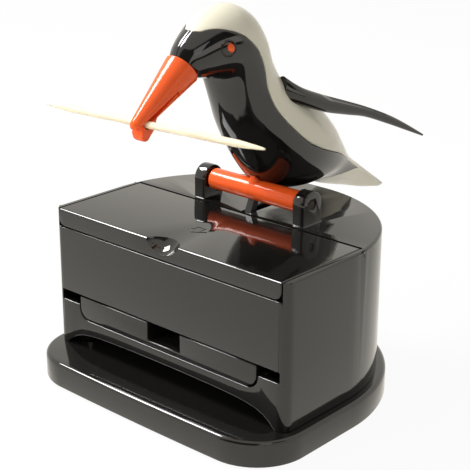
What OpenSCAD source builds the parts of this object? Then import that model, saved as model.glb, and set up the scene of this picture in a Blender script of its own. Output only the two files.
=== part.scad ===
// Press-down bird toothpick dispenser. Millimetres, +Z up, front of the box towards -Y.
// Everything is drawn with the front face of the box at y = 0 and moved at the end
// so that the middle of the bounding box is over the origin.

/* [Box] */
// Outside width of the box
box_w = 72.6; // [70:0.1:90]
// Front face to the back of the curve
box_d = 55.6; // [50:0.1:80]
// Height of the box above the base
box_h = 34.4; // [32:0.1:50]
// Wall thickness of the box
wall = 1.8; // [1.2:0.1:3]
// Thickness of the fixed rear deck
deck_t = 1.8; // [1.2:0.1:3]
// Radius of the two upright front corners
corner_r = 2.5; // [1:0.1:5]
// Height of the low arch under the front wall
arch_h = 4.6; // [3:0.1:5]
// Half width of the arch at the base
arch_hw = 33.2; // [20:0.1:34]

/* [Base] */
// Thickness of the base plate
base_t = 6.6; // [3:0.1:8]
// How far the base stands out at the sides and the back
base_side = 2.2; // [1:0.1:8]
// How far the base stands out at the front corners
base_front = 9.7; // [4:0.1:16]
// Extra reach of the bowed front edge in the middle
base_bow = 0.3; // [0:0.1:3]
// Radius of the front corners of the base
base_r = 13.4; // [4:0.1:20]
// Radius of the rubber feet
foot_r = 4; // [2:0.1:6]
// Thickness of the rubber feet
foot_t = 1.5; // [0.8:0.1:3]
// How much of each foot is let into the base
foot_sunk = 1.1; // [0.3:0.1:2]

/* [Lid] */
// Thickness of the lid plate
lid_t = 2.2; // [1.6:0.1:4]
// Height of the skirt on the front of the lid
skirt_h = 4.2; // [3:0.1:8]
// Thickness of the skirt
skirt_t = 1.6; // [1:0.1:3]
// Width of the rim left on each side of the lid
rim_w = 1.4; // [0.8:0.1:3]
// Front face to the seam behind the lid
seam_y = 27.3; // [20:0.1:40]
// Gap all round the lid
lid_gap = 0.3; // [0.1:0.05:0.8]
// Radius of the lid hinge pins
lid_pin_r = 0.6; // [0.4:0.05:1]
// Ball radius of the finger scoop
scoop_r = 6.45; // [4:0.05:10]

/* [Front opening] */
// Top of the opening above the table
slot_top = 20.5; // [15:0.1:25]
// Half width of the end windows
window_hw = 34.4; // [30:0.1:36]
// Gap round the tongue
tongue_gap = 0.4; // [0.2:0.05:1]

/* [Toothpick] */
// Length of a toothpick
pick_l = 65; // [50:0.5:80]
// Radius of a toothpick
pick_r = 1; // [0.7:0.05:1.3]
// Length of each pointed end
pick_tip = 7; // [2:0.5:15]
// Radius at the very end
pick_tip_r = 0.25; // [0.1:0.05:0.6]

/* [Tray] */
// Half width of the tongue
tongue_hw = 28; // [15:0.1:30]
// Height of the tongue
tongue_h = 5.4; // [4:0.1:8]
// Radius of the lower corners of the tongue
tongue_r = 2.8; // [1:0.1:4]
// Depth of the tray block front to back
tray_d = 11.6; // [10:0.1:16]
// Half width of the beak notch
notch_hw = 5.2; // [3:0.1:8]
// Depth of the beak notch
notch_h = 4.4; // [3:0.1:4.6]
// How far back the beak notch runs
notch_d = 8.6; // [6:0.1:10]
// Clearance between sliding faces
slide_gap = 0.15; // [0.05:0.05:0.4]

/* [Bow mechanism] */
// Front face to the bird's axle
axle_y = 31.8; // [29:0.1:40]
// Height of the bird's axle above the lid
axle_up = 4.6; // [4:0.1:8]
// Radius of the bird's axle rod
axle_r = 1; // [0.6:0.05:2]
// Running clearance of every pin in its bore
pin_gap = 0.05; // [0.02:0.01:0.1]
// Axle to the toothpick held in the beak
reach = 43.5; // [40:0.1:50]
// Angle of the held toothpick above the level, seen from the axle
reach_a = 32.8; // [20:0.1:45]
// Length of the drive lever
lever_l = 13.2; // [10:0.1:16]
// Lean of the drive lever at rest, forwards from straight down
lever_a = 24; // [15:0.5:30]
// Radius of the drive pin
drive_pin_r = 1.2; // [0.8:0.05:1.6]
// Crank pivot, behind the front face
crank_y = 36.5; // [32:0.1:40]
// Crank pivot, above the table
crank_z = 21.6; // [18:0.1:24]
// Radius of the crank pin
crank_pin_r = 1.2; // [0.8:0.05:1.6]
// Radius of the pin that moves the tray
tray_pin_r = 1; // [0.6:0.05:1.4]

/* [Posts and foot bar] */
// Inner face of each post from the middle
post_x = 13.8; // [14:0.1:20]
// Thickness of a post
post_t = 3.4; // [2:0.1:5]
// Radius of the rounded top of a post
post_r = 3.3; // [2.5:0.1:5]
// Radius of the orange foot bar
bar_r = 2.6; // [2:0.05:4]

/* [Bird] */
// Wall of the two body shells
shell_t = 1.5; // [1:0.1:2.5]
// Radius of the eye bead
eye_r = 1.05; // [0.6:0.05:2]
// Radius of the dark ring round the eye
eye_ring_r = 1.9; // [1:0.05:3]

/* [Hidden] */
$fn = 48;

hw = box_w / 2;
back_flat = 2.3; // half the straight length in the middle of the back
arc_y = box_d - hw + back_flat;
top_z = base_t + box_h;
axle_z = top_z + axle_up;

// lid
lid_hw = hw - rim_w - lid_gap;
lid_pin_y = seam_y - lid_gap / 2 - lid_t / 2;
lid_pin_z = top_z - lid_t / 2;

// toothpick places: groove of the tray, throat above it, and the beak
groove_y = wall + pick_r + 0.25;
groove_z = slot_top - pick_r - 0.2;
throat_z = groove_z + 2 * pick_r + 0.1;
pick_out_y = axle_y - sqrt(reach * reach - pow(axle_z - groove_z, 2));
travel = groove_y - pick_out_y;
bow = reach_a + asin((axle_z - groove_z) / reach);
held_y = axle_y - reach * cos(reach_a);
held_z = axle_z + reach * sin(reach_a);

// tray
tray_top = slot_top - 0.35;
tray_bot = tray_top - tongue_h;
window_z = groove_z - pick_r - 0.35;

// guide plate
guide_t = 1.4;
guide_z = tray_bot - slide_gap - 2;
guide_hw = hw - wall - 0.5;
guide_back = 47;

// crank: the pin on the lever runs in a cam slot, the lower pin moves the tray
function lever_tip(t) = [axle_y + lever_l * sin(t - lever_a), axle_z - lever_l * cos(t - lever_a)];
function crank_dir(p) = atan2(p[1] - crank_z, p[0] - crank_y);
crank_turn = crank_dir(lever_tip(0)) - crank_dir(lever_tip(bow));
crank_ratio = crank_turn / bow;
low_l = travel / 2 / sin(crank_turn / 2);
tray_pin_y = crank_y + travel / 2;
tray_pin_z = crank_z - low_l * cos(crank_turn / 2);
slot_low = crank_z - low_l;
// place of the drive pin in the crank's own frame when the bird has bowed by t
function turned(p, a) = [crank_y + (p[0] - crank_y) * cos(a) - (p[1] - crank_z) * sin(a),
    crank_z + (p[0] - crank_y) * sin(a) + (p[1] - crank_z) * cos(a)];
function cam(t) = turned(lever_tip(t), t * crank_ratio);
cam_steps = 8;
cam_r = drive_pin_r + 0.12;
cam_rim = 0.8;
lift_r = norm(cam(bow) - [crank_y, crank_z]) + cam_r + cam_rim; // reach of the crank's upper end
plate_x = 2;
plate_t = 2;
lever_x = 0.9;
lever_w = 1.8;
ear_x = 5;
ear_t = 2;

slot_y0 = axle_y - (axle_z - top_z + deck_t) * tan(lever_a) - lever_w / 2 / cos(lever_a) - 0.3;
slot_y1 = axle_y + (axle_z - top_z + deck_t) * tan(bow - lever_a) + lever_w / 2 / cos(bow - lever_a) + 0.4;

// screws: four hold the box, four the guide plate
screw_r = 1;
head_r = 2.2;
head_t = 1.4;
boss_r = 3;
screw_l = 10.9;
boss_at = hw - back_flat - wall - boss_r + 0.6; // rear pillars, from the middle of the curve into the wall
rear_x = back_flat + boss_at * sin(42.4);
rear_y = arc_y + boss_at * cos(42.4);
box_screws = [[-hw + 4.5, 5.4], [hw - 4.5, 5.4], [-rear_x, rear_y], [rear_x, rear_y]];
guide_screws = [[-24, 14.5], [24, 14.5], [-11, 43.5], [11, 43.5]];
hopper_screws_at = [[-guide_hw + 4, 22], [guide_hw - 4, 22]];
feet_at = [[-hw + 6.3, -1.5], [hw - 6.3, -1.5], [-15, arc_y + 28.4], [15, arc_y + 28.4]];

function lerp(a, b, t) = a + (b - a) * t;

module yz(x0, x1) // extrudes a profile drawn in (y, z) from x0 to x1
    translate([x0, 0, 0]) rotate([90, 0, 90]) linear_extrude(x1 - x0) children();

module rod(y, z, r, x0, x1)
    translate([x0, y, z]) rotate([0, 90, 0]) cylinder(r = r, h = x1 - x0);

module back_round(r) intersection() { // rear half of a disc
    union() {
        for (s = [-1, 1]) translate([s * back_flat, arc_y]) circle(r = r - back_flat, $fn = 96);
        translate([-back_flat, arc_y]) square([2 * back_flat, r - back_flat]);
    }
    translate([-r - 1, arc_y - 0.5]) square([2 * r + 2, r + 2]);
}

module d_plan(in = 0) { // plan of the box: straight front, rounded back
    r = max(corner_r - in, 0.4);
    back_round(hw - in);
    translate([-hw + in, in + r]) square([2 * (hw - in), arc_y - in - r]);
    translate([-hw + in + r, in]) square([2 * (hw - in - r), r + 1]);
    for (s = [-1, 1]) translate([s * (hw - in - r), in + r]) circle(r = r);
}

module base_plan(in = 0) {
    bw = hw + base_side - in;
    bf = -base_front + in;
    r = base_r - in;
    back_round(bw);
    translate([-bw, bf + r]) square([2 * bw, arc_y - bf - r]);
    translate([-bw + r, bf]) square([2 * (bw - r), r + 1]);
    for (s = [-1, 1]) translate([s * (bw - r), bf + r]) circle(r = r);
    half = bw - r - 0.6;
    big = half * half / 2 / base_bow + base_bow / 2;
    intersection() {
        translate([0, bf - base_bow + big]) circle(r = big, $fn = 360);
        translate([-half - 0.3, bf - base_bow - 1]) square([2 * half + 0.6, base_bow + 2]);
    }
}

module base_plate() color("#2c2b29") difference() {
    union() {
        translate([0, 0, foot_t - foot_sunk]) linear_extrude(base_t - foot_t + foot_sunk - 0.6) base_plan();
        translate([0, 0, base_t - 0.6]) linear_extrude(0.6) base_plan(0.5);
    }
    for (p = concat(box_screws, guide_screws)) translate([p[0], p[1], 0]) {
        cylinder(r = screw_r + pin_gap, h = base_t + 1);
        translate([0, 0, -1]) cylinder(r = head_r + 0.2, h = 1 + foot_t - foot_sunk + head_t + 0.3);
    }
    for (p = feet_at) translate([p[0], p[1], -1]) cylinder(r = foot_r + 0.1, h = 1 + foot_t);
}

module rubber_feet() color("#3a3a3a")
    for (p = feet_at) translate([p[0], p[1], 0]) {
        cylinder(r1 = foot_r - 0.3, r2 = foot_r, h = 0.3);
        translate([0, 0, 0.3]) cylinder(r = foot_r, h = foot_t - 0.3);
    }

module screw(l) { // pan head down, shank up
    difference() {
        cylinder(r = head_r, h = head_t);
        translate([-0.3, -1.4, -0.1]) cube([0.6, 2.8, 0.6]);
        translate([-1.4, -0.3, -0.1]) cube([2.8, 0.6, 0.6]);
    }
    translate([0, 0, head_t]) cylinder(r = screw_r, h = l - head_t - 0.8);
    translate([0, 0, l - 0.8]) cylinder(r1 = screw_r, r2 = 0.3, h = 0.8);
}

module base_screws() color("#b9bbbd")
    for (p = concat(box_screws, guide_screws)) translate([p[0], p[1], foot_t - foot_sunk + 0.3]) screw(screw_l);

module front_opening() { // T-shaped: two end windows and the gap round the tongue
    translate([-window_hw, window_z]) square([2 * window_hw, slot_top - window_z]);
    g = tongue_gap;
    translate([-tongue_hw - g, tray_bot - g + tongue_r + g]) square([2 * (tongue_hw + g), slot_top - tray_bot - tongue_r]);
    translate([-tongue_hw + tongue_r, tray_bot - g]) square([2 * (tongue_hw - tongue_r), tongue_r + g + 0.1]);
    intersection() {
        for (s = [-1, 1]) translate([s * (tongue_hw - tongue_r), tray_bot + tongue_r]) circle(r = tongue_r + g);
        translate([-hw, 0]) square([2 * hw, slot_top]);
    }
}

// upper edge of the arch: nearly level, dropping in an S at each end
function arch_z(u) = base_t + arch_h * (0.8 * (1 - pow(u, 10)) + 0.2 * (1 - u * u));
module arch_plan() polygon(concat([[-arch_hw, base_t - 1]],
    [for (i = [0:40]) let (u = i / 20 - 1) [arch_hw * u, arch_z(abs(u))]], [[arch_hw, base_t - 1]]));

module front_cut(y0, y1) translate([0, y1, 0]) rotate([90, 0, 0]) linear_extrude(y1 - y0) children();

module post() {
    yz(0, post_t) {
        translate([axle_y, axle_z]) circle(r = post_r);
        translate([axle_y - post_r, top_z - 0.5]) square([2 * post_r, axle_z - top_z + 0.5]);
    }
}

module body_shell() color("#2f2e2c") difference() {
    union() {
        difference() {
            translate([0, 0, base_t]) linear_extrude(box_h) d_plan();
            translate([0, 0, base_t - 1]) linear_extrude(box_h - deck_t + 1) d_plan(wall);
            // lid well, its ledge and the notch for the lid skirt
            translate([-hw + rim_w, -1, top_z - lid_t - lid_gap]) cube([box_w - 2 * rim_w, seam_y + 1 + 0.15, lid_t + 2]);
            translate([-hw + rim_w, -1, top_z - skirt_h - lid_gap]) cube([box_w - 2 * rim_w, wall + 1.01, skirt_h + 2]);
            front_cut(-1, wall + 0.5) front_opening();
            front_cut(-1, wall + 0.5) arch_plan();
        }
        for (p = box_screws) translate([p[0], p[1], base_t]) cylinder(r = boss_r, h = 9.5);
        for (x = [-post_x - post_t, post_x]) translate([x, 0, 0]) post();
    }
    for (p = box_screws) translate([p[0], p[1], base_t - 1]) cylinder(r = screw_r + 0.02, h = 9);
    rod(axle_y, axle_z, axle_r + pin_gap, -post_x - post_t - 1, post_x + post_t + 1);
    translate([-lever_x - 0.4, slot_y0, top_z - deck_t - 1]) cube([2 * lever_x + 0.8, slot_y1 - slot_y0, deck_t + 2]);
    intersection() { // room for the crank under the deck
        rod(crank_y, crank_z, lift_r + 0.35, -plate_x - plate_t - 0.35, plate_x + plate_t + 0.35);
        translate([-10, 0, top_z - deck_t - 1]) cube([20, box_d - wall - 1, 10]);
    }
    for (s = [-1, 1]) rod(lid_pin_y, lid_pin_z, lid_pin_r + pin_gap, s > 0 ? hw - rim_w - 1 : -hw + 0.35, s > 0 ? hw - 0.35 : -hw + rim_w + 1);
}

module lid() color("#343230") difference() {
    union() {
        intersection() {
            union() {
                translate([-lid_hw, 0, top_z - lid_t]) cube([2 * lid_hw, lid_pin_y, lid_t]);
                front_cut(0, skirt_t) { // skirt with rounded lower corners
                    translate([-lid_hw, top_z - skirt_h + 2]) square([2 * lid_hw, skirt_h - 2]);
                    translate([-lid_hw + 2, top_z - skirt_h]) square([2 * lid_hw - 4, 2.1]);
                    for (s = [-1, 1]) translate([s * (lid_hw - 2), top_z - skirt_h + 2]) circle(r = 2);
                }
                translate([-7.4, 0, top_z - skirt_h]) cube([14.8, 4.8, skirt_h]);
                // ribs that stiffen the lid from below
                for (x = [-24, 24]) translate([x - 0.6, skirt_t - 0.1, top_z - lid_t - 1.2]) cube([1.2, 19, 1.3]);
            }
            translate([0, 0, top_z - skirt_h - 1]) linear_extrude(skirt_h + 1) d_plan();
        }
        rod(lid_pin_y, lid_pin_z, lid_t / 2, -lid_hw, lid_hw);
    }
    translate([0, -2.1, top_z + 3.2]) sphere(r = scoop_r, $fn = 64);
    for (s = [-1, 1]) rod(lid_pin_y, lid_pin_z, lid_pin_r + 0.01, s > 0 ? lid_hw - 6 : -lid_hw - 1, s > 0 ? lid_hw + 1 : -lid_hw + 6);
}

module lid_pins() color("#b9bbbd")
    for (s = [-1, 1]) rod(lid_pin_y, lid_pin_z, lid_pin_r, s > 0 ? lid_hw - 5.8 : -hw + 0.5, s > 0 ? hw - 0.5 : -lid_hw + 5.8);

// sloping floor of the hopper
floor_y0 = groove_y + pick_r + 0.25;
floor_z0 = throat_z - pick_r + 0.05;
floor_y1 = 24.4;
floor_z1 = top_z - lid_t - 0.5;
slope = atan2(floor_z1 - floor_z0 - 1.5, floor_y1 - floor_y0);
floor_t = 1.5;
cheek_t = 1.1;
cheek_y0 = wall + 0.15;

module hopper() color("#383735") difference() {
    union() {
        yz(-guide_hw + cheek_t - 0.1, guide_hw - cheek_t + 0.1) polygon([[floor_y0, floor_z0], [floor_y0, floor_z0 + 1.5],
            [floor_y1, floor_z1], [floor_y1 + 1.2, floor_z1], [floor_y1 + 1.2, floor_z1 - 1],
            [floor_y0 + floor_t / sin(slope), floor_z0]]);
        for (s = [0, 1]) {
            x0 = s ? guide_hw - cheek_t : -guide_hw;
            yz(x0, x0 + cheek_t) polygon([[cheek_y0, floor_z0], [cheek_y0, top_z - skirt_h - 0.2], [cheek_y0 + 0.2, floor_z1],
                [floor_y1 + 1.2, floor_z1], [floor_y1 + 1.2, guide_z], [17, guide_z], [17, floor_z0]]);
        }
        for (p = hopper_screws_at) translate([p[0], p[1], guide_z]) cylinder(r = 2.4, h = 6.5);
        for (p = hopper_screws_at) translate([p[0] > 0 ? p[0] : -guide_hw + 0.5, p[1] - 0.6, guide_z]) cube([guide_hw - abs(p[0]) - 0.5, 1.2, 6.5]);
    }
    for (p = hopper_screws_at) translate([p[0], p[1], guide_z - 1]) cylinder(r = screw_r + 0.02, h = 6.6);
    rod(cam(0)[0], cam(0)[1], cam_r + cam_rim + 0.35, -plate_x - plate_t - 0.35, plate_x + plate_t + 0.35);
}

module hopper_screws() color("#b9bbbd")
    for (p = hopper_screws_at) translate([p[0], p[1], guide_z - guide_t - head_t]) screw(head_t + guide_t + 4.8);

module tray_guide() color("#383735") difference() {
    union() {
        difference() {
            translate([0, 0, guide_z - guide_t]) linear_extrude(guide_t) intersection() {
                d_plan(wall + 0.4);
                translate([-guide_hw, wall + 0.4]) square([2 * guide_hw, guide_back - wall]);
            }
            for (p = box_screws) translate([p[0], p[1], guide_z - guide_t - 1]) cylinder(r = boss_r + 0.3, h = guide_t + 2);
            for (s = [0, 1]) translate([s ? box_screws[1][0] - 0.1 : -hw, 0, guide_z - guide_t - 1]) cube([hw - box_screws[1][0] + 0.1, box_screws[0][1] + 0.1, guide_t + 2]);
        }
        for (p = guide_screws) translate([p[0], p[1], base_t]) cylinder(r = boss_r, h = guide_z - base_t);
        // rails under the tray and cheeks beside it
        for (x = [-24, -12, 10, 22]) translate([x, wall + 0.6, guide_z - 0.1]) cube([2, 17, tray_bot - slide_gap - guide_z + 0.1]);
        for (s = [-1, 1]) translate([s > 0 ? tongue_hw + slide_gap : -tongue_hw - slide_gap - 1.2, wall + 0.6, guide_z - 0.1]) cube([1.2, 17, window_z - guide_z]);
        // ears that carry the crank pin
        for (s = [0, 1]) yz(s ? ear_x : -ear_x - ear_t, s ? ear_x + ear_t : -ear_x) {
            translate([crank_y, crank_z]) circle(r = crank_pin_r + 2.2);
            polygon([[crank_y - 5.5, guide_z - 0.1], [crank_y + 5.5, guide_z - 0.1], [crank_y + 3, crank_z], [crank_y - 3, crank_z]]);
        }
    }
    for (p = box_screws) translate([p[0], p[1], guide_z]) cylinder(r = boss_r + 0.3, h = 8);
    for (p = guide_screws) translate([p[0], p[1], base_t - 1]) cylinder(r = screw_r + 0.02, h = 6.4);
    for (p = hopper_screws_at) translate([p[0], p[1], guide_z - guide_t - 1]) cylinder(r = screw_r + pin_gap, h = guide_t + 2);
    rod(crank_y, crank_z, crank_pin_r, -ear_x - ear_t - 1, ear_x + ear_t + 1);
}

tail_x = 1.6;
module tray() color("#2f2e2c") difference() {
    union() {
        front_cut(0, tray_d) intersection() {
            union() {
                translate([-tongue_hw, tray_bot + tongue_r]) square([2 * tongue_hw, tongue_h]);
                translate([-tongue_hw + tongue_r, tray_bot]) square([2 * (tongue_hw - tongue_r), tongue_h]);
                for (s = [-1, 1]) translate([s * (tongue_hw - tongue_r), tray_bot + tongue_r]) circle(r = tongue_r);
            }
            translate([-tongue_hw - 1, tray_bot - 1]) square([2 * tongue_hw + 2, tongue_h + 1]);
        }
        translate([-8, tray_d - 0.5, tray_bot]) cube([16, crank_y - 9.5 - tray_d, 1.8]);
        translate([-tail_x, tray_d - 0.5, slot_low - tray_pin_r - 1.1]) cube([2 * tail_x, tray_pin_y + 3 - tray_d, tray_pin_z - slot_low + 2 * tray_pin_r + 2.2]);
    }
    rod(groove_y, groove_z, pick_r + 0.1, -tongue_hw - 1, tongue_hw + 1);
    translate([-tongue_hw - 1, groove_y - pick_r - 0.1, groove_z]) cube([2 * tongue_hw + 2, 2 * pick_r + 0.2, 3]);
    translate([-notch_hw, -1, tray_top - notch_h]) cube([2 * notch_hw, notch_d + 1, notch_h + 1]);
    // upright slot for the pin on the crank
    yz(-tail_x - 1, tail_x + 1) {
        for (z = [slot_low, tray_pin_z]) translate([tray_pin_y, z]) circle(r = tray_pin_r + 0.12);
        translate([tray_pin_y - tray_pin_r - 0.12, slot_low]) square([2 * tray_pin_r + 0.24, tray_pin_z - slot_low]);
    }
}

module bar2(a, b, w) { // straight strip between two points
    d = b - a;
    l = norm(d);
    translate(a) rotate(atan2(d[1], d[0])) translate([0, -w / 2]) square([l, w]);
}

module crank() color("#4a4946") {
    up = cam(0);
    down = [tray_pin_y, tray_pin_z];
    hub = [crank_y, crank_z];
    for (x = [-plate_x - plate_t, plate_x]) yz(x, x + plate_t) difference() {
        union() {
            for (i = [0:cam_steps]) translate(cam(bow * i / cam_steps)) circle(r = cam_r + cam_rim);
            bar2(hub, cam(bow / 2), 4.4);
            translate(hub) circle(r = crank_pin_r + 1.5);
            bar2(hub, down, 3);
            translate(down) circle(r = tray_pin_r + 0.9);
        }
        for (i = [0:cam_steps * 2]) translate(cam(bow * i / cam_steps / 2)) circle(r = cam_r);
        translate(hub) circle(r = crank_pin_r + pin_gap);
        translate(down) circle(r = tray_pin_r);
    }
    difference() {
        rod(crank_y, crank_z, crank_pin_r + 0.9, -plate_x, plate_x);
        rod(crank_y, crank_z, crank_pin_r + pin_gap, -plate_x - 1, plate_x + 1);
    }
}

module crank_pin() color("#b9bbbd") rod(crank_y, crank_z, crank_pin_r, -ear_x - ear_t - 0.3, ear_x + ear_t + 0.3);
module tray_pin() color("#b9bbbd") rod(tray_pin_y, tray_pin_z, tray_pin_r, -plate_x - plate_t, plate_x + plate_t);

// sweeps a round wire along a list of points, frames kept upright to the x axis
function unit(v) = v / norm(v);
function path_dir(p, i) = unit(p[min(i + 1, len(p) - 1)] - p[max(i - 1, 0)]);
module wire(p, r, n = 8) {
    rings = [for (i = [0:len(p) - 1]) let (t = path_dir(p, i), u = unit(cross(t, abs(t[0]) < 0.9 ? [1, 0, 0] : [0, 0, 1])), v = cross(t, u))
        [for (k = [0:n - 1]) p[i] + r * (cos(360 * k / n) * u + sin(360 * k / n) * v)]];
    skin(rings);
}

// Closes a stack of rings that all have the same number of points. With split, the ends are those of an open shell.
module skin(rings, split = false) {
    n = len(rings[0]);
    m = len(rings);
    e = (m - 1) * n;
    polyhedron(points = [for (r = rings) each r], faces = concat(
        split ? [for (k = [0:n / 2 - 2]) each [[n - 1 - k, n - 2 - k, k + 1], [n - 1 - k, k + 1, k]]] : [[for (k = [0:n - 1]) n - 1 - k]],
        [for (i = [0:m - 2]) for (k = [0:n - 1]) let (a = i * n + k, b = i * n + (k + 1) % n) each [[a, b, b + n], [a, b + n, a + n]]],
        split ? [for (k = [0:n / 2 - 2]) each [[e + k, e + k + 1, e + n - 2 - k], [e + k, e + n - 2 - k, e + n - 1 - k]]] : [[for (k = [0:n - 1]) e + k]]), convexity = 8);
}

spring_r = crank_pin_r + 1.45;
spring_turns = 4;
module return_spring() color("#a9abad") {
    up = cam(0) - [crank_y, crank_z];
    a0 = atan2(up[1], up[0]);
    coil = [for (i = [0:spring_turns * 16]) let (a = a0 + 90 + i * 22.5)
        [-1.35 + 2.7 * i / spring_turns / 16, crank_y + spring_r * cos(a), crank_z + spring_r * sin(a)]];
    leg = [for (k = [3:-1:1]) coil[0] + [0, -sin(a0 + 90), cos(a0 + 90)] * -1.2 * k];
    stub = [coil[len(coil) - 1] + [0, -sin(a0 + 90), cos(a0 + 90)] * 1.1];
    wire(concat(leg, coil, stub), 0.27, 6);
}

module offset_lever(c) { // outline of the lever inside the foot bar, grown by c
    translate([axle_y, axle_z]) circle(r = axle_r + 0.9 + c);
    bar2([axle_y, axle_z], lever_tip(0), lever_w + 2 * c);
    translate([axle_y - 1.4 - c, axle_z]) square([2.8 + 2 * c, bar_r + 3.2 + c]);
}
module drive_lever() color("#2c2b29") {
    tip = lever_tip(0);
    yz(-lever_x, lever_x) difference() {
        union() {
            offset_lever(0);
            translate(tip) circle(r = drive_pin_r + 0.9);
        }
        translate([axle_y, axle_z]) circle(r = axle_r);
        translate(tip) circle(r = drive_pin_r);
    }
}
module drive_pin() color("#b9bbbd") rod(lever_tip(0)[0], lever_tip(0)[1], drive_pin_r, -plate_x - plate_t, plate_x + plate_t);

bar_x0 = -post_x + 0.2;
bar_x1 = post_x - 0.2;
module foot_bar() color("#ec5a2a") difference() {
    union() {
        yz(bar_x0, bar_x1) intersection() {
            translate([axle_y, axle_z]) circle(r = bar_r);
            translate([axle_y - bar_r, axle_z - bar_r + 0.5]) square([2 * bar_r, 2 * bar_r]);
        }
        translate([-2, axle_y - 2.2, axle_z]) cube([4, 4.4, bar_r + 1.4]);
    }
    rod(axle_y, axle_z, axle_r, bar_x0 - 1, bar_x1 + 1);
    yz(-lever_x - 0.03, lever_x + 0.03) offset_lever(0.03);
}
module axle_rod() color("#b9bbbd") rod(axle_y, axle_z, axle_r, -post_x - post_t + 0.3, post_x + post_t - 0.3);

// Bird, measured from the axle for a reach of 43.5 and scaled with it.
// Each row: belly point (y, z), back point (y, z), half width, and the
// angle round the section where black meets ivory (-90 belly, 90 back).
BIRD = [
    [[-21, 30.8], [-26.7, 35.7], 4, 89.4],
    [[-18.4, 30.2], [-25.2, 38.5], 5.1, 89.4],
    [[-16, 29.6], [-21.5, 41.7], 6.4, 68],
    [[-14.4, 29.5], [-16.6, 44.5], 7.7, 35],
    [[-14, 28.9], [-10.9, 45.8], 8.5, 11],
    [[-13.6, 27.2], [-5.8, 43.7], 8.7, 4.5],
    [[-12.9, 24.5], [-2, 39], 8.6, 2],
    [[-11.7, 20.9], [0.4, 33.3], 8.5, -2.5],
    [[-9.7, 16.4], [3.8, 28.1], 9.3, -5],
    [[-6.7, 11.3], [9.9, 23.8], 10.5, -6],
    [[-3, 5.8], [17.2, 19.2], 11.2, -3],
    [[1.3, 1.3], [23.4, 13.6], 10.8, 11],
    [[8, -0.9], [28.3, 7.6], 9, 28],
    [[16, -1.1], [33.1, 2.1], 6.1, 40],
    [[24.7, -4.1], [38.3, -1.5], 3.9, 40],
    [[33.3, -6.6], [44.1, -5.4], 2.1, 40],
    [[41.8, -9.1], [48.4, -8.3], 1.1, 40],
    [[48.5, -10.6], [51, -10.1], 0.6, 40]];
tail_row = 14;
bird_k = reach / 43.5;
function at_axle(y, z) = [axle_y + bird_k * y, axle_z + bird_k * z];
y_mid = (axle_y + bird_k * BIRD[len(BIRD) - 1][1][0] - base_front - base_bow) / 2;

function cr(a, b, c, d, t) = 0.5 * (2 * b + (c - a) * t + (2 * a - 5 * b + 4 * c - d) * t * t + (3 * b - a - 3 * c + d) * t * t * t);
function row(s, k) = let (n = len(BIRD) - 1, i = min(floor(s), n - 1), t = s - i,
    v = cr(BIRD[max(i - 1, 0)][k], BIRD[i][k], BIRD[i + 1][k], BIRD[min(i + 2, n)][k], t))
    k < 2 ? at_axle(v[0], v[1]) : k == 2 ? bird_k * v : v;
// point on the body at station s, angle a round the section, sunk by d
function body_pt(s, a, d = 0) = let (p = row(s, 0), q = row(s, 1), w = row(s, 2), c = (p + q) / 2, h = norm(q - p) / 2, u = (q - p) / (2 * h),
    e = min(d, 0.6 * w, 0.6 * h), v = (h - e) * sin(a))
    [(w - e) * cos(a), c[0] + u[0] * v, c[1] + u[1] * v];
function seam_a(s) = s < 1.85 ? 89.4 : s < 2 ? lerp(89.4, 68, (s - 1.85) / 0.15) : row(s, 3);
// open shell between two angles, outer face then inner face
function shell_ring(s, a0, a1, n = 14) = concat(
    [for (k = [0:n]) body_pt(s, lerp(a0, a1, k / n))],
    [for (k = [n:-1:0]) body_pt(s, lerp(a0, a1, k / n), shell_t)]);

module bird_front_shell() color("#262523")
    skin([for (i = [0:34]) let (s = i < 5 ? i * 0.36 : 1.8 + (i - 5) * (tail_row - 1.8) / 29, e = seam_a(s) - 0.5) shell_ring(s, -180 - e, e, 16)], true);

module bird_back_shell() color("#d3d0bb") {
    skin([for (i = [0:24]) let (s = lerp(1.9, tail_row - 0.012, i / 24), e = seam_a(s) + 0.5) shell_ring(s, e, 180 - e)], true);
    // solid tail, a hair behind the open shell
    skin([for (i = [0:8]) let (s = lerp(tail_row + 0.012, len(BIRD) - 1, i / 8)) [for (k = [0:29]) body_pt(s, 360 * k / 30)]]);
}

// Wings, measured and scaled in the same way. Each row: (x, y, z), half thickness outwards, half height.
WING = [
    [[6.6, 0.6, 25.9], 1.6, 2.4],
    [[8, 2.6, 24.5], 1.9, 2.1],
    [[9.2, 5.6, 23], 2, 1.9],
    [[10.8, 12.2, 20.5], 1.8, 1.8],
    [[12.2, 18.4, 18.6], 1.5, 1.5],
    [[13.4, 24.2, 16.8], 1.2, 1.15],
    [[14.9, 31.4, 13.8], 0.9, 1],
    [[16, 37.4, 10.9], 0.65, 0.7],
    [[17, 43.5, 7.8], 0.3, 0.25]];
function wing_row(s, k) = let (n = len(WING) - 1, i = min(floor(s), n - 1), t = s - i)
    bird_k * cr(WING[max(i - 1, 0)][k], WING[i][k], WING[i + 1][k], WING[min(i + 2, n)][k], t);
module wing(side) {
    n = 14;
    m = 22;
    rings = [for (i = [0:m]) let (s = i * (len(WING) - 1) / m, c = wing_row(s, 0), a = wing_row(s, 1), b = wing_row(s, 2))
        [for (k = [0:n - 1]) let (t = 360 * k / n) [side * (c[0] + a * cos(t)), axle_y + c[1] + 0.35 * b * sin(t), axle_z + c[2] + b * sin(t)]]];
    if (side > 0) skin(rings); else skin([for (r = rings) [for (k = [0:n - 1]) r[n - 1 - k]]]);
}
module left_wing() color("#262523") wing(1);
module right_wing() color("#262523") wing(-1);

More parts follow.
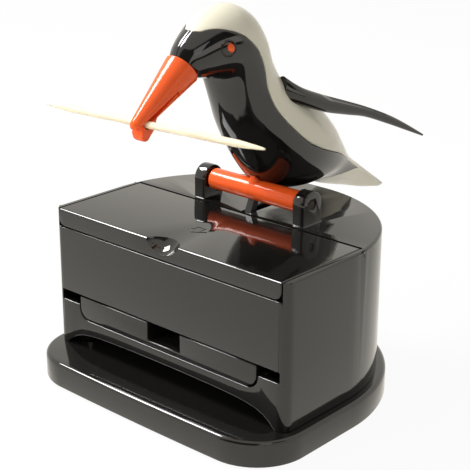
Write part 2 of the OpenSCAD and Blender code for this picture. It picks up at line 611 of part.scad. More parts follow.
eye_at = concat(bird_k * 6.9, at_axle(-17.4, 37.6));
eye_turn = 20; // the side of the head faces forwards by this much
module both_eyes() for (s = [-1, 1]) translate([s * eye_at[0], eye_at[1], eye_at[2]]) rotate([0, 0, -s * eye_turn]) {
    $side = s;
    children();
}
module eye_rings() color("#3b3a38") both_eyes() difference() {
    rotate([0, $side * 90, 0]) translate([0, 0, -1.2]) cylinder(r = eye_ring_r, h = 1.5, $fn = 32);
    translate([0, 0.6, 0.15]) rotate([0, $side * 90, 0]) translate([0, 0, -1.3]) cylinder(r = eye_r, h = 1.7, $fn = 32);
}
module eye_beads() color("#f0703c") both_eyes() translate([0, 0.6, 0.15]) rotate([0, $side * 90, 0]) {
    translate([0, 0, -1.2]) cylinder(r = eye_r, h = 1.55, $fn = 32);
    translate([0, 0, 0.35]) cylinder(r1 = eye_r, r2 = eye_r - 0.45, h = 0.35, $fn = 32);
}

// Beak, drawn along its own axis: s towards the tip, n up
beak_at = at_axle(-24.8, 33.4);
beak_a = atan2(-0.545, -0.84);
function beak_pt(s, n) = [beak_at[0] + s * cos(beak_a) + n * sin(beak_a), beak_at[1] + s * sin(beak_a) - n * cos(beak_a)];
held_s = (held_y - beak_at[0]) * cos(beak_a) + (held_z - beak_at[1]) * sin(beak_a);
held_n = (held_y - beak_at[0]) * sin(beak_a) - (held_z - beak_at[1]) * cos(beak_a);
split_n = held_n + pick_r + 0.03;
beak_l = 16.6 * bird_k;
beak_r0 = 4.1 * bird_k;
beak_r1 = 1.7 * bird_k;
beak_dip = 1.0;
split_s = 5.6;
split_gap = 0.25;
root_at = [5.0, held_n - 0.25];
module in_beak(x0, x1) // profile drawn in (s, n), extruded across
    translate([0, beak_at[0], beak_at[1]]) rotate([beak_a, 0, 0]) mirror([0, 0, 1]) yz(x0, x1) children();
module beak_cone() translate([0, beak_at[0], beak_at[1]]) rotate([beak_a, 0, 0]) mirror([0, 0, 1])
    rotate([-90 - atan(beak_dip / beak_l), 0, 0]) {
        cylinder(r1 = beak_r0, r2 = beak_r1, h = beak_l);
        translate([0, 0, beak_l]) sphere(r = beak_r1);
    }
module upper_beak() color("#ee5522") difference() {
    union() {
        beak_cone();
        in_beak(-2.6, 2.6) translate([-3, -2.4]) square([3.2, 4.8]);
    }
    in_beak(-5, 5) translate([split_s, split_n - 10]) square([20, 10]);
    // pocket for the root of the lower finger
    in_beak(-1.1, 1.1) {
        translate(root_at) circle(r = 0.87);
        translate([root_at[0], root_at[1] - 1.05]) square([2, 1.9]);
    }
}
module lower_beak() color("#e04a1c") difference() {
    union() {
        intersection() {
            beak_cone();
            in_beak(-5, 5) polygon([[split_s + 0.35, split_n - split_gap], [held_s + 1, split_n - split_gap], [held_s + 1, -6], [split_s + 0.35, -6]]);
        }
        in_beak(-1.7, 1.7) {
            polygon([[held_s - 3, split_n - split_gap - 0.9], [held_s - 1, split_n - split_gap], [held_s + 1.2, split_n - split_gap], [held_s + 3.0, held_n - 1.0], [held_s + 1.9, held_n - 2.9], [held_s - 1.4, held_n - 2.2]]);
            translate([held_s + 1.85, held_n - 1.7]) circle(r = 1.25);
        }
        in_beak(-1, 1) {
            translate(root_at) circle(r = 0.8);
            translate([root_at[0], root_at[1] - 0.8]) square([2, 1.6]);
        }
    }
    in_beak(-5, 5) {
        translate([held_s, held_n]) circle(r = pick_r + 0.05);
        translate([held_s - pick_r - 0.18, held_n + 0.2]) square([2 * pick_r + 0.36, 3]);
    }
}

module toothpick() {
    rotate([0, 90, 0]) rotate_extrude($fn = 20) polygon([[0, -pick_l / 2], [pick_tip_r, -pick_l / 2], [pick_r, -pick_l / 2 + pick_tip],
        [pick_r, pick_l / 2 - pick_tip], [pick_tip_r, pick_l / 2], [0, pick_l / 2]]);
}
module held_toothpick() color("#e6cf9c") translate([0, held_y, held_z]) toothpick();
module next_toothpick() color("#e6cf9c") translate([0, groove_y, throat_z]) toothpick();

// loose stock: level rows that widen with the slope of the hopper
row_h = 2 * pick_r * 0.95;
stock_rows = 4;
function row_back(z) = floor_y0 + (z - floor_z0 - 1.5) / tan(slope) - pick_r / sin(slope) - 0.05;
module toothpick_stock() color("#dcc48e")
    for (j = [0:stock_rows - 1]) let (z = throat_z + 2 * pick_r + 0.1 + j * row_h, y0 = wall + pick_r + 0.1 + (j % 2) * pick_r * 1.04, n = max(0, floor((row_back(z) - y0) / (2 * pick_r + 0.08))))
        for (i = [0:n]) translate([((i * 7 + j * 5) % 3 - 1) * 0.25, y0 + i * (2 * pick_r + 0.08), z]) toothpick();

module at_origin() translate([0, -y_mid, 0]) children();

at_origin() {
    base_plate();
    rubber_feet();
    base_screws();
    body_shell();
    lid();
    lid_pins();
    hopper();
    hopper_screws();
    tray_guide();
    tray();
    crank();
    crank_pin();
    tray_pin();
    return_spring();
    drive_lever();
    drive_pin();
    foot_bar();
    axle_rod();
    bird_front_shell();
    bird_back_shell();
    left_wing();
    right_wing();
    eye_rings();
    eye_beads();
    upper_beak();
    lower_beak();
    held_toothpick();
    next_toothpick();
    toothpick_stock();
}
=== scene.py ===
"""Dresses the press-down bird toothpick dispenser: rounded mouldings, bird shells, finishes, lights and camera."""

import math

import bmesh
import bpy
from mathutils import Matrix, Vector


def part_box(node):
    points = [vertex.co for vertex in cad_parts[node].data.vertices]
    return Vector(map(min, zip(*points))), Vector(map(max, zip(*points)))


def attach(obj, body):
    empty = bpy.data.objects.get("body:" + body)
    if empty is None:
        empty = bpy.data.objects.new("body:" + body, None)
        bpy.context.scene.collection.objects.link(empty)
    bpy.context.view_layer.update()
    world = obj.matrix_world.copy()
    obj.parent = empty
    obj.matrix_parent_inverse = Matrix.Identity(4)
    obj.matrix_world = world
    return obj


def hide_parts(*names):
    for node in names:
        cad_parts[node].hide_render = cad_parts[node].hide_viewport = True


bl_info = {
    "name": "Bird toothpick dispenser",
    "version": (1, 0, 0),
    "blender": (4, 5, 0),
    "location": "3D View > Sidebar > Dispenser",
    "description": "Builds the visible pieces of a press-down bird toothpick dispenser",
    "category": "Add Mesh",
}

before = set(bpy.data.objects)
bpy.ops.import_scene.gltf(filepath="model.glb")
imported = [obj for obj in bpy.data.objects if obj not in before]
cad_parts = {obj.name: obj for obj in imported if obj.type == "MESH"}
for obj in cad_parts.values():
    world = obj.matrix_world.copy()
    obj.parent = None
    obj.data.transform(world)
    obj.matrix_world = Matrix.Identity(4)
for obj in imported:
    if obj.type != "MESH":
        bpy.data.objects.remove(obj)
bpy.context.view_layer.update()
MM = 0.001


def middle(node):
    """Middle of a CAD node's box at rest."""
    lo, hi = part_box(node)
    return (lo + hi) / 2


AXLE = middle("axle_rod")
BODY_LOW, BODY_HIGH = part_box("body_shell")
BASE_LOW, BASE_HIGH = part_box("base_plate")
LID_LOW, LID_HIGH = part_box("lid")
BAR_LOW, BAR_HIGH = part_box("foot_bar")

# Bird, in millimetres from the axle: belly y, belly z, back y, back z, half width, seam angle
BIRD = [
    (-21.0, 30.8, -26.7, 35.7, 4.0, 89.9),
    (-18.4, 30.2, -25.2, 38.5, 5.1, 89.9),
    (-16.0, 29.8, -21.5, 41.7, 6.4, 68),
    (-14.4, 29.5, -16.6, 44.5, 7.7, 35),
    (-14.0, 28.9, -10.9, 45.8, 8.5, 11),
    (-13.6, 27.2, -5.8, 43.7, 8.7, 4.5),
    (-12.9, 24.5, -2.0, 39.0, 8.6, 2),
    (-11.7, 20.9, 0.4, 33.3, 8.5, -2.5),
    (-9.7, 16.4, 3.8, 28.1, 9.3, -5),
    (-6.7, 11.3, 9.9, 23.8, 10.5, -6),
    (-3.0, 5.8, 17.2, 19.2, 11.2, -3),
    (1.3, 1.3, 23.4, 13.6, 10.8, 11),
    (8.0, -0.9, 28.3, 7.6, 9.0, 28),
    (16.0, -1.1, 33.1, 2.1, 6.1, 40),
    (24.7, -4.1, 38.3, -1.5, 3.9, 40),
    (33.3, -6.6, 44.1, -5.4, 2.1, 40),
    (41.8, -9.1, 48.4, -8.3, 1.1, 40),
    (48.5, -10.6, 51.0, -10.1, 0.6, 40),
]
TAIL = 14.0  # station where the black shell ends on the back
CAP = 1.86  # station up to which the forehead is all black
SHELL = 1.5  # wall of the bird's shells
LIP = [(0.45, 0.03), (0.15, 0.1), (0.0, 0.24)]  # rounded edge of a shell: share of the turn, depth

# The beak runs forwards and down in the bird's plane of symmetry
BEAK_ALONG = Vector((0, -0.839, -0.544))
BEAK_UP = Vector((0, -0.544, 0.839))

BOX_TALL = 34.4 * MM

# Wings, from the axle: x, y, z, half thickness, half height
WING = [
    (6.6, 0.6, 25.9, 1.6, 2.4),
    (8.0, 2.6, 24.5, 1.9, 2.1),
    (9.2, 5.6, 23.0, 2.0, 1.9),
    (10.8, 12.2, 20.5, 1.8, 1.8),
    (12.2, 18.4, 18.6, 1.5, 1.5),
    (13.4, 24.2, 16.8, 1.2, 1.15),
    (14.9, 31.4, 13.8, 0.9, 1.0),
    (16.0, 37.4, 10.9, 0.65, 0.7),
    (17.0, 43.5, 7.8, 0.3, 0.25),
]


# ---- shapes ----


def spline(rows, s):
    """Values of a table of rows at station s, on a smooth curve through them."""
    last = len(rows) - 1
    i = min(int(s), last - 1)
    t = s - i
    picked = (rows[max(i - 1, 0)], rows[i], rows[i + 1], rows[min(i + 2, last)])
    return [
        0.5
        * (
            2 * b
            + (c - a) * t
            + (2 * a - 5 * b + 4 * c - d) * t * t
            + (3 * b - a - 3 * c + d) * t**3
        )
        for a, b, c, d in zip(*picked)
    ]


def seam(s):
    """Angle round the bird's section where black meets ivory."""
    if s <= CAP:
        return 89.97
    if s < 2.0:
        return 90 - 22 * math.sqrt((s - CAP) / (2.0 - CAP))
    return spline(BIRD, s)[5]


def body_point(s, angle, sunk=0.0):
    """Point on the bird's skin at station s and an angle round the section, sunk by some millimetres."""
    y0, z0, y1, z1, wide, _ = spline(BIRD, s)
    high = math.hypot(y1 - y0, z1 - z0) / 2
    uy, uz = (y1 - y0) / (2 * high), (z1 - z0) / (2 * high)
    depth = min(sunk, 0.6 * wide, 0.6 * high)
    a = math.radians(angle)
    v = (high - depth) * math.sin(a)
    return AXLE + MM * Vector(
        (
            (wide - depth) * math.cos(a),
            (y0 + y1) / 2 + uy * v,
            (z0 + z1) / 2 + uz * v,
        )
    )


def smooth(obj, angle=32):
    """Smooth shading that keeps edges sharper than the angle."""
    obj.data.shade_smooth()
    obj.data.set_sharp_from_angle(angle=math.radians(angle))
    return obj


def piece(name, verts, faces, angle=32):
    """A new mesh object from points and faces, with its faces turned outwards."""
    mesh = bpy.data.meshes.new(name)
    mesh.from_pydata([tuple(v) for v in verts], [], faces)
    bm = bmesh.new()
    bm.from_mesh(mesh)
    bmesh.ops.remove_doubles(bm, verts=bm.verts, dist=2e-6)
    bmesh.ops.recalc_face_normals(bm, faces=bm.faces)
    bm.to_mesh(mesh)
    bm.free()
    obj = bpy.data.objects.new(name, mesh)
    bpy.context.scene.collection.objects.link(obj)
    return smooth(obj, angle)


def loft(rings, closed=False):
    """Points and faces of a skin over rings with equal numbers of points, capped unless it closes on itself."""
    n, m = len(rings[0]), len(rings)
    verts = [p for ring in rings for p in ring]
    faces = [
        (i * n + k, i * n + (k + 1) % n, (i + 1) % m * n + (k + 1) % n, (i + 1) % m * n + k)
        for i in range(m if closed else m - 1)
        for k in range(n)
    ]
    if not closed:
        faces += [tuple(range(n)), tuple((m - 1) * n + k for k in reversed(range(n)))]
    return verts, faces


def circle(count):
    """Cosine, sine and angle at even steps round a circle."""
    angles = [2 * math.pi * k / count for k in range(count)]
    return [(math.cos(a), math.sin(a), a) for a in angles]


def rounding(radius):
    """How far out and how far in a quarter round goes, in steps of 15 degrees."""
    angles = [math.radians(a) for a in range(0, 91, 15)]
    return [(radius * math.sin(a), radius - radius * math.cos(a)) for a in angles]


def bulge(value, power):
    """A cosine or sine bent towards a fuller or a leaner curve, with its sign kept."""
    return math.copysign(abs(value) ** power, value)


def lathe(profile, count):
    """Points and faces of a turned shape about Z from (radius, height) pairs in millimetres."""
    return loft([[MM * Vector((r * c, r * s, h)) for c, s, _ in circle(count)] for r, h in profile])


def joined(parts):
    """Several (points, faces) pairs as one pair."""
    verts, faces = [], []
    for points, loops in parts:
        start = len(verts)
        verts += points
        faces += [tuple(start + i for i in loop) for loop in loops]
    return verts, faces


def moved(part, matrix):
    """A (points, faces) pair put through a matrix."""
    return [matrix @ p for p in part[0]], part[1]


def settle(obj):
    """Applies an object's modifiers."""
    graph = bpy.context.evaluated_depsgraph_get()
    mesh = bpy.data.meshes.new_from_object(obj.evaluated_get(graph))
    old = obj.data
    obj.modifiers.clear()
    obj.data = mesh
    bpy.data.meshes.remove(old)
    return obj


def carve(obj, cutter, operation="DIFFERENCE"):
    """Cuts one object with another, which is then removed."""
    step = obj.modifiers.new("carve", "BOOLEAN")
    step.operation, step.solver, step.object = operation, "EXACT", cutter
    settle(obj)
    bpy.data.objects.remove(cutter)
    return obj


def rounded_copy(node, name, width, wide=None, wide_width=0.0, least=33, keep=None):
    """A copy of a CAD node with its facets merged and its edges rounded.

    Only edges sharper than least degrees are rounded. Where wide(middle of the edge) is true they get
    wide_width first, and where keep(middle of the edge) is true they stay sharp. Widths are millimetres.
    """

    def sharp(edge):
        return len(edge.link_faces) == 2 and edge.calc_face_angle(0) > math.radians(least)

    def centre(edge):
        return (edge.verts[0].co + edge.verts[1].co) / 2

    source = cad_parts[node]
    mesh = source.data.copy()
    mesh.materials.clear()
    obj = bpy.data.objects.new(name, mesh)
    bpy.context.scene.collection.objects.link(obj)
    bm = bmesh.new()
    bm.from_mesh(mesh)
    bmesh.ops.remove_doubles(bm, verts=bm.verts, dist=1e-6)
    bmesh.ops.dissolve_limit(
        bm, angle_limit=math.radians(0.6), verts=bm.verts, edges=bm.edges, delimit=set()
    )
    if wide:
        picked = [e for e in bm.edges if sharp(e) and wide(centre(e))]
        bmesh.ops.bevel(
            bm, geom=picked, offset=wide_width * MM, segments=6, profile=0.5, affect="EDGES", clamp_overlap=False
        )
    weight = bm.edges.layers.float.new("bevel_weight_edge")
    for e in bm.edges:
        e[weight] = 1.0 if sharp(e) and not (keep and keep(centre(e))) else 0.0
    bm.to_mesh(mesh)
    bm.free()
    soft = obj.modifiers.new("rounding", "BEVEL")
    soft.width, soft.segments = width * MM, 3
    soft.limit_method = "WEIGHT"
    soft.use_clamp_overlap = False
    soft.miter_outer = "MITER_ARC"
    settle(obj)
    return smooth(obj, 30)


def islands(node):
    """Middles of the separate solids of a CAD node."""
    bm = bmesh.new()
    bm.from_mesh(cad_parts[node].data)
    bmesh.ops.remove_doubles(bm, verts=bm.verts, dist=1e-6)
    left, found = set(bm.verts), []
    while left:
        group, edge = set(), [left.pop()]
        while edge:
            v = edge.pop()
            group.add(v)
            for e in v.link_edges:
                w = e.other_vert(v)
                if w in left:
                    left.remove(w)
                    edge.append(w)
        low = Vector(min(v.co[i] for v in group) for i in range(3))
        high = Vector(max(v.co[i] for v in group) for i in range(3))
        found.append((low + high) / 2)
    bm.free()
    return sorted(found, key=lambda p: tuple(round(c, 5) for c in p))


def coat(obj, material):
    """Puts one material on the whole object."""
    obj.data.materials.clear()
    obj.data.materials.append(material)
    for face in obj.data.polygons:
        face.material_index = 0


def place(obj, body, slot, material, *nodes):
    """Gives a piece its material and its body, and hides the CAD nodes that it stands for; the slot is not used."""
    coat(obj, material)
    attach(obj, body)
    if nodes:
        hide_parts(*nodes)


def dress(material, *nodes):
    """Puts a material on CAD nodes that are shown as they are."""
    for node in nodes:
        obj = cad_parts[node]
        coat(obj, material)
        smooth(obj, 25)


# ---- finishes ----


class Wire:
    """A node's output that can be used in Python sums."""

    def __init__(self, tree, socket):
        self.tree, self.socket = tree, socket

    def math(self, operation, *values):
        node = self.tree.nodes.new("ShaderNodeMath")
        node.operation = operation
        for i, value in enumerate(values):
            if isinstance(value, Wire):
                self.tree.links.new(value.socket, node.inputs[i])
            else:
                node.inputs[i].default_value = value
        return Wire(self.tree, node.outputs[0])

    def __add__(self, other):
        return self.math("ADD", self, other)

    __radd__ = __add__

    def __sub__(self, other):
        return self.math("SUBTRACT", self, other)

    def __rsub__(self, other):
        return self.math("SUBTRACT", other, self)

    def __mul__(self, other):
        return self.math("MULTIPLY", self, other)

    __rmul__ = __mul__

    def ramp(self, low, high):
        """0 below low, 1 above high, smooth between."""
        node = self.tree.nodes.new("ShaderNodeMapRange")
        node.interpolation_type = "SMOOTHSTEP"
        self.tree.links.new(self.socket, node.inputs["Value"])
        node.inputs["From Min"].default_value = low
        node.inputs["From Max"].default_value = high
        return Wire(self.tree, node.outputs["Result"])


class Board:
    """A node tree that nodes are added to."""

    def __init__(self, tree):
        self.tree = tree
        tree.nodes.clear()

    def node(self, kind, settings=None, inputs=None, output=0):
        """Adds a node: its settings first, then the values or links of its sockets. Gives back one output."""
        node = self.tree.nodes.new(kind)
        for name, value in (settings or {}).items():
            setattr(node, name, value)
        for name, value in (inputs or {}).items():
            if isinstance(value, Wire):
                self.tree.links.new(value.socket, node.inputs[name])
            else:
                node.inputs[name].default_value = value
        return Wire(self.tree, node.outputs[output]) if node.outputs else node

    def outputs(self, wire, *names):
        """Other outputs of the node that a wire comes from."""
        return [Wire(self.tree, wire.socket.node.outputs[name]) for name in names]

    def rays(self):
        """Whether a ray comes from the camera, and whether from a reflection."""
        seen = self.node("ShaderNodeLightPath", output=0)
        return [seen, *self.outputs(seen, "Is Glossy Ray")]

    def noise(self, where, scale, detail=2.0, rough=0.5, distort=0.0):
        return self.node(
            "ShaderNodeTexNoise",
            None,
            {"Vector": where, "Scale": scale, "Detail": detail, "Roughness": rough, "Distortion": distort},
        )

    def stretched(self, where, scale):
        return self.node("ShaderNodeMapping", None, {"Vector": where, "Scale": scale})

    def mixed(self, factor, first, second):
        """Mix of two colours; 6, 7 and 2 are the colour sockets of the Mix node."""
        return self.node("ShaderNodeMix", {"data_type": "RGBA"}, {"Factor": factor, 6: first, 7: second}, 2)

    def bump(self, height, strength, distance):
        return self.node("ShaderNodeBump", None, {"Height": height, "Strength": strength, "Distance": distance})


def tint(colour, factor):
    """A colour made lighter or darker."""
    return tuple(min(1.0, c * factor) for c in colour[:3]) + (1.0,)


def finish(name, recipe, **constants):
    """A material, made once: recipe(board, where) gives what varies, constants go on the shader's own sockets."""
    material = bpy.data.materials.get(name)
    if material:
        return material
    material = bpy.data.materials.new(name)
    material.use_nodes = True
    board = Board(material.node_tree)
    where = board.node("ShaderNodeTexCoord", output=3)
    inputs = recipe(board, where)
    inputs.update(constants)
    shader = board.node("ShaderNodeBsdfPrincipled", None, inputs)
    board.node("ShaderNodeOutputMaterial", None, {"Surface": shader})
    return material


def moulded(colour, rough, spread, grain=0.0):
    """Recipe of a moulded plastic: a little flow in the colour, smudges in the gloss and a faint skin texture."""

    def recipe(board, where):
        flow = board.noise(where, 35, 3)
        smudge = board.noise(where, 140, 4, 0.6, 0.4)
        specks = board.noise(where, 2600, 1).ramp(0.70, 0.78)
        skin = board.noise(where, 420, 2) + grain * board.noise(where, 5200, 2)
        return {
            "Base Color": board.mixed(flow, tint(colour, 0.9), tint(colour, 1.1)),
            "Roughness": rough + spread * smudge.ramp(0.35, 0.75) + 0.10 * specks,
            "Normal": board.bump(skin, 0.12, 0.00004),
        }

    return recipe


def steel_recipe(colour):
    """Recipe of drawn steel with fine lines along X."""

    def recipe(board, where):
        lines = board.noise(board.stretched(where, (60, 2400, 2400)), 1.0, 3)
        return {
            "Base Color": board.mixed(lines, tint(colour, 0.85), tint(colour, 1.1)),
            "Roughness": 0.22 + 0.18 * lines,
            "Metallic": 1.0,
            "Normal": board.bump(lines, 0.1, 0.00003),
        }

    return recipe


def rubber_recipe(colour):
    """Recipe of dull, gritty rubber."""

    def recipe(board, where):
        grit = board.noise(where, 1500, 4, 0.7)
        return {
            "Base Color": board.mixed(grit, tint(colour, 0.8), tint(colour, 1.4)),
            "Roughness": 0.7 + 0.2 * grit,
            "Normal": board.bump(grit, 0.3, 0.00005),
        }

    return recipe


def wood_recipe(colour):
    """Pale birch with long fibres along the stick and a few darker streaks."""

    def recipe(board, where):
        fibres = board.noise(board.stretched(where, (90, 3200, 3200)), 1.0, 4, 0.65, 0.3)
        streaks = board.noise(board.stretched(where, (35, 1100, 1100)), 1.0, 2).ramp(0.52, 0.78)
        pale = board.mixed(fibres, tint(colour, 0.90), tint(colour, 1.12))
        return {
            "Base Color": board.mixed(0.55 * streaks, pale, (0.62, 0.42, 0.20, 1.0)),
            "Roughness": 0.52 + 0.25 * fibres,
            "Normal": board.bump(fibres, 0.35, 0.00006),
        }

    return recipe


# ---- properties ----


def shade(name, text, value):
    """A colour that a user can change."""
    return bpy.props.FloatVectorProperty(
        name=name, description=text, subtype="COLOR", size=3, min=0.0, max=1.0, default=value
    )


class DispenserFinishes(bpy.types.PropertyGroup):
    black: shade("Black", "Colour of the gloss black mouldings", (0.0085, 0.0082, 0.0074))
    inner: shade("Inner black", "Colour of the satin inner mouldings", (0.014, 0.0137, 0.013))
    ivory: shade("Ivory", "Colour of the bird's back and tail", (0.80, 0.755, 0.60))
    orange: shade("Orange", "Colour of the beak, the eyes and the foot bar", (1.0, 0.115, 0.016))
    eye_cup: shade("Eye cup", "Colour of the cup round each eye bead", (0.006, 0.006, 0.006))
    steel: shade("Steel", "Colour of pins, screws and the spring", (0.72, 0.72, 0.73))
    rubber: shade("Rubber", "Colour of the feet", (0.05, 0.05, 0.05))
    wood: shade("Wood", "Colour of the toothpicks", (0.90, 0.79, 0.57))
    gloss: bpy.props.FloatProperty(
        name="Gloss roughness", description="Roughness of the gloss mouldings", default=0.045, min=0.0, max=0.5
    )


class DispenserSizes(bpy.types.PropertyGroup):
    edge: bpy.props.FloatProperty(
        name="Edge rounding", description="Rounding of the mouldings' edges, mm", default=0.28, min=0.05, max=0.6
    )
    lid_edge: bpy.props.FloatProperty(
        name="Lid front edge", description="Rounding of the lid's upper front edge, mm", default=0.75, min=0.2, max=1.2
    )
    base_edge: bpy.props.FloatProperty(
        name="Base top edge", description="Rounding of the base's upper edge, mm", default=1.0, min=0.3, max=2.0
    )
    seam_gap: bpy.props.FloatProperty(
        name="Seam",
        description="Half the seam between the bird's shells, degrees round the section",
        default=0.5,
        min=0.2,
        max=1.5,
    )
    pick_tilt: bpy.props.FloatProperty(
        name="Toothpick tilt",
        description="How far the held toothpick leans in the beak",
        subtype="ANGLE",
        default=math.radians(2.0),
        min=0.0,
        max=math.radians(4),
    )
    pick_shift: bpy.props.FloatProperty(
        name="Toothpick shift",
        description="How far the held toothpick is off the middle",
        subtype="DISTANCE",
        unit="LENGTH",
        default=0.0014,
        min=0.0,
        max=0.003,
    )


def sizes():
    return bpy.context.scene.dispenser_sizes


def colours():
    return bpy.context.scene.dispenser_finishes


def gloss_black():
    c = colours()
    return finish("gloss_black", moulded(c.black, c.gloss, 0.05), IOR=1.6)


def satin_black():
    return finish("satin_black", moulded(colours().inner, 0.32, 0.12, 0.3), IOR=1.5)


def gloss_ivory():
    return finish("gloss_ivory", moulded(colours().ivory, 0.13, 0.08), IOR=1.5)


def gloss_orange():
    return finish("gloss_orange", moulded(colours().orange, 0.16, 0.06), IOR=1.4)


def cup_black():
    return finish("eye_cup_black", moulded(colours().eye_cup, 0.12, 0.06), IOR=1.5)


def plain_steel():
    return finish("plain_steel", steel_recipe(colours().steel))


def dark_steel():
    return finish("dark_steel", steel_recipe((0.075, 0.06, 0.05)))


def soft_rubber():
    return finish("soft_rubber", rubber_recipe(colours().rubber))


def birch():
    return finish("birch", wood_recipe(colours().wood))


# ---- pieces ----


class Piece:
    """What every operator here shares."""

    bl_options = {"REGISTER", "UNDO"}

    def execute(self, context):
        self.build(context)
        return {"FINISHED"}


class DISPENSER_OT_base(Piece, bpy.types.Operator):
    """Base plate with its rounded upper edge, and the feet and screws under it"""

    bl_idname = "dispenser.base"
    bl_label = "Base, feet and screws"

    def outline(self, inset, back_flat=2.3, corner=13.4, bow=0.3):
        """Plan of the base, moved in by some millimetres: round back with a short flat, bowed front."""
        half = BASE_HIGH.x / MM - inset
        front = BASE_LOW.y / MM + inset
        back = BASE_HIGH.y / MM - inset
        r = half - back_flat
        middle_y = back - r
        corner -= inset
        straight = half - corner
        points = []
        for k in range(65):
            a = math.radians(180 * k / 64)
            side = back_flat if k < 32 else -back_flat if k > 32 else 0
            points.append((r * math.cos(a) + side, middle_y + r * math.sin(a)))
        for sign, start in ((-1, 180), (1, 270)):
            for k in range(25):
                a = math.radians(start + 90 * k / 24)
                points.append((sign * straight + corner * math.cos(a), front + bow + corner + corner * math.sin(a)))
            if sign < 0:
                points += [(u * straight, front + bow * u * u) for u in (k / 12 - 1 for k in range(1, 24))]
        return points

    def under(self, node, part):
        """The part once below each solid of a CAD node."""
        return [moved(part, Matrix.Translation((at.x, at.y, 0))) for at in islands(node)]

    def build(self, context):
        low, high = BASE_LOW.z / MM, BASE_HIGH.z / MM
        edge = sizes().base_edge
        steps = [(low, 0.45), (low + 0.12, 0.13), (low + 0.45, 0.0)]
        steps += [(high - edge + out, inset) for out, inset in rounding(edge)]
        rings = [[MM * Vector((x, y, z)) for x, y in self.outline(inset)] for z, inset in steps]
        plate = piece("base_plate_moulded", *loft(rings), angle=40)
        screw_hole = lathe([(2.4, low - 1), (2.4, low + 1.7), (2.2, low + 1.9)], 40)
        foot_hole = lathe([(4.1, low - 1), (4.1, low + 1.1)], 48)
        holes = self.under("base_screws", screw_hole) + self.under("rubber_feet", foot_hole)
        carve(plate, piece("hole_cutter", *joined(holes)))
        smooth(plate, 34)
        place(plate, "base", "black_gloss", gloss_black(), "base_plate")
        foot = lathe(
            [(0.01, 0.35), (2.2, 0.3), (2.6, 0.05), (3.3, 0.0), (3.75, 0.12), (3.97, 0.4), (4.0, 1.5), (0.01, 1.5)], 56
        )
        feet = piece("rubber_feet_moulded", *joined(self.under("rubber_feet", foot)), angle=50)
        place(feet, "base", "rubber", soft_rubber(), "rubber_feet")
        dress(plain_steel(), "base_screws")


class DISPENSER_OT_box(Piece, bpy.types.Operator):
    """Box with its front opening, arch and posts, edges rounded"""

    bl_idname = "dispenser.box"
    bl_label = "Box"

    def build(self, context):
        top = BODY_LOW.z + BOX_TALL

        def rim(p):
            """True along the box's upper outer edge, at the sides and round the back."""
            at_side = abs(p.x) > BODY_HIGH.x - 0.1 * MM or p.y > BODY_LOW.y + 20 * MM
            round_y = max(0, (p.y - BODY_LOW.y - 21.6 * MM) / (34 * MM))
            return abs(p.z - top) < 0.02 * MM and at_side and (p.x / BODY_HIGH.x) ** 2 + round_y**2 > 0.93

        def well(p):
            """True along the well that the lid lies in."""
            return abs(p.x) < LID_HIGH.x + 0.6 * MM and p.y < LID_HIGH.y + 1.2 * MM and p.z > top - 4.5 * MM

        box = rounded_copy("body_shell", "box_moulded", sizes().edge, rim, 0.55, keep=well)
        # nothing stands above the deck outside the posts
        for v in box.data.vertices:
            if abs(v.co.x) > 25 * MM:
                v.co.z = min(v.co.z, top)
        place(box, "base", "black_gloss", gloss_black(), "body_shell")


